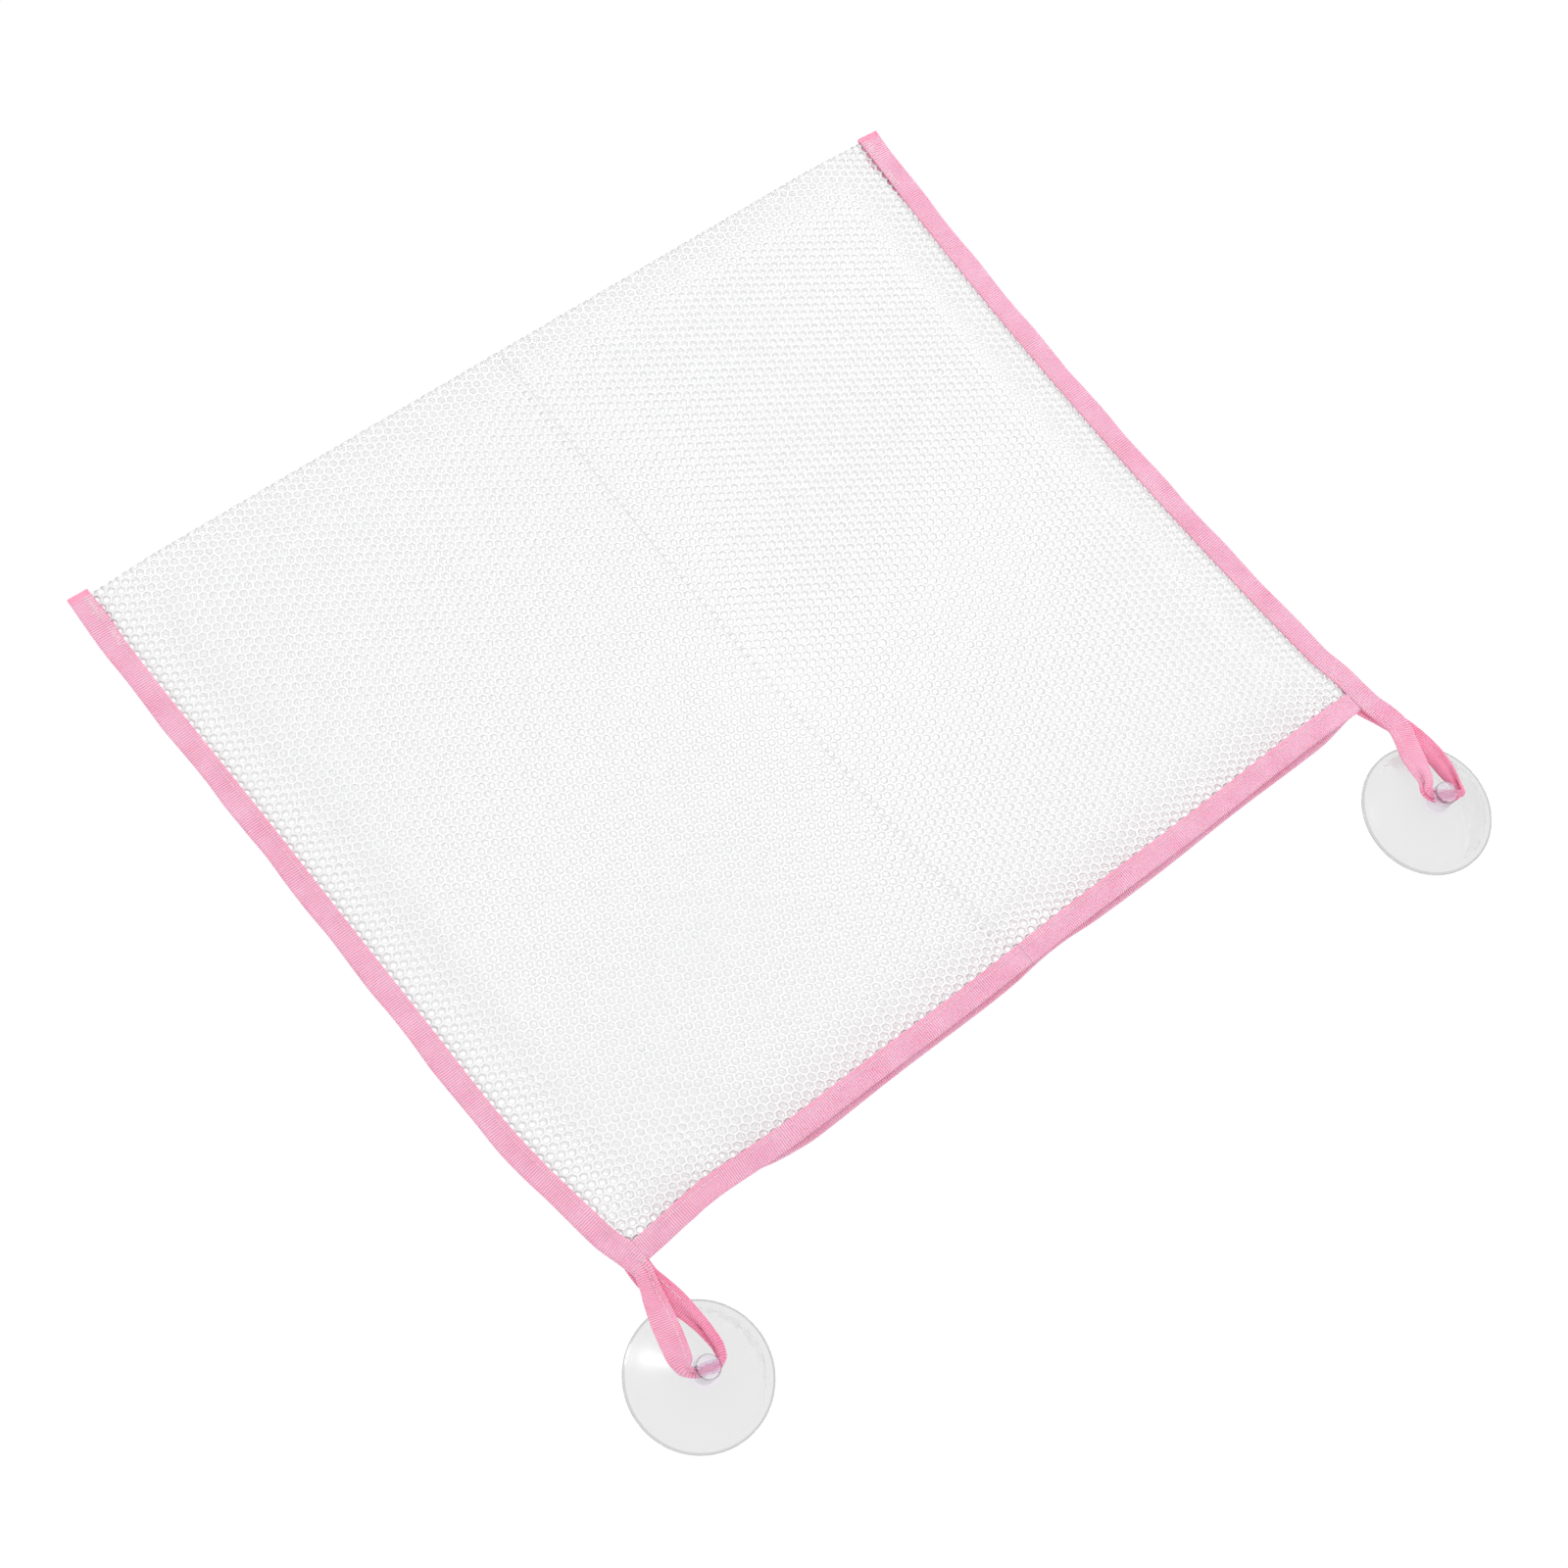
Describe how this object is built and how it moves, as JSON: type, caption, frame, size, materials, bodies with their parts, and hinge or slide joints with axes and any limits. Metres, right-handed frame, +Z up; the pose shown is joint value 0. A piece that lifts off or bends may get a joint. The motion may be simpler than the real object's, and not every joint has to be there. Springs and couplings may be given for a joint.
{
  "type": "hanging mesh shower caddy",
  "caption": "Flat white net bag bound in pink ribbed tape, with tape loops at the mouth corners that hold clear suction cups, for hanging wet things on a tiled wall.",
  "frame": {"origin": "on the surface that the bag lies on, under the middle of its box", "axes": "+Z up from that surface, through the bag's two layers and along the cups' knobs; -Y towards the mouth and the cups, +Y towards the fold; +X along the mouth"},
  "size_m": [0.4698, 0.4374, 0.023],
  "materials": {
    "net": "knitted net",
    "tape": "ribbed tape",
    "thread": "sewing thread",
    "cup": "clear soft moulding"
  },
  "bodies": {
    "bag": {"rear_net_panel": "net", "rear_mouth_binding": "tape", "rear_mouth_stitching": "thread", "left_side_binding": "tape", "right_side_binding": "tape", "left_side_stitching": "thread", "right_side_stitching": "thread", "left_corner_tack": "thread", "right_corner_tack": "thread", "left_fold_tack": "thread", "right_fold_tack": "thread"},
    "front_wall": {"front_net_panel": "net", "front_mouth_binding": "tape", "front_mouth_stitching": "thread"},
    "left_loop": {"left_hanging_loop": "tape"},
    "right_loop": {"right_hanging_loop": "tape"},
    "left_cup": {"left_suction_cup": "cup"},
    "right_cup": {"right_suction_cup": "cup"}
  },
  "joints": [
    {"name": "mouth_open", "type": "hinge", "parent": "bag", "child": "front_wall", "pos_m": [0.00251, 0.21276, 0.00285], "axis": [-0.9998, 0.0183, 0], "range_deg": [0, 10], "deforming": ["front_net_panel", "front_mouth_binding", "front_mouth_stitching"]},
    {"name": "left_loop_fold", "type": "hinge", "parent": "bag", "child": "left_loop", "pos_m": [-0.19606, -0.14228, 0.00285], "axis": [-1, 0, 0], "range_deg": [-100, 100]},
    {"name": "right_loop_fold", "type": "hinge", "parent": "bag", "child": "right_loop", "pos_m": [0.21896, -0.14211, 0.00285], "axis": [-1, 0, 0], "range_deg": [-100, 100]},
    {"name": "left_cup_swing", "type": "hinge", "parent": "left_loop", "child": "left_cup", "pos_m": [-0.20486, -0.18368, 0.0173], "axis": [0.9397, -0.342, 0], "range_deg": [-150, 5]},
    {"name": "right_cup_swing", "type": "hinge", "parent": "right_loop", "child": "right_cup", "pos_m": [0.20486, -0.18871, 0.0173], "axis": [0.8572, -0.515, 0], "range_deg": [-150, 5]}
  ]
}
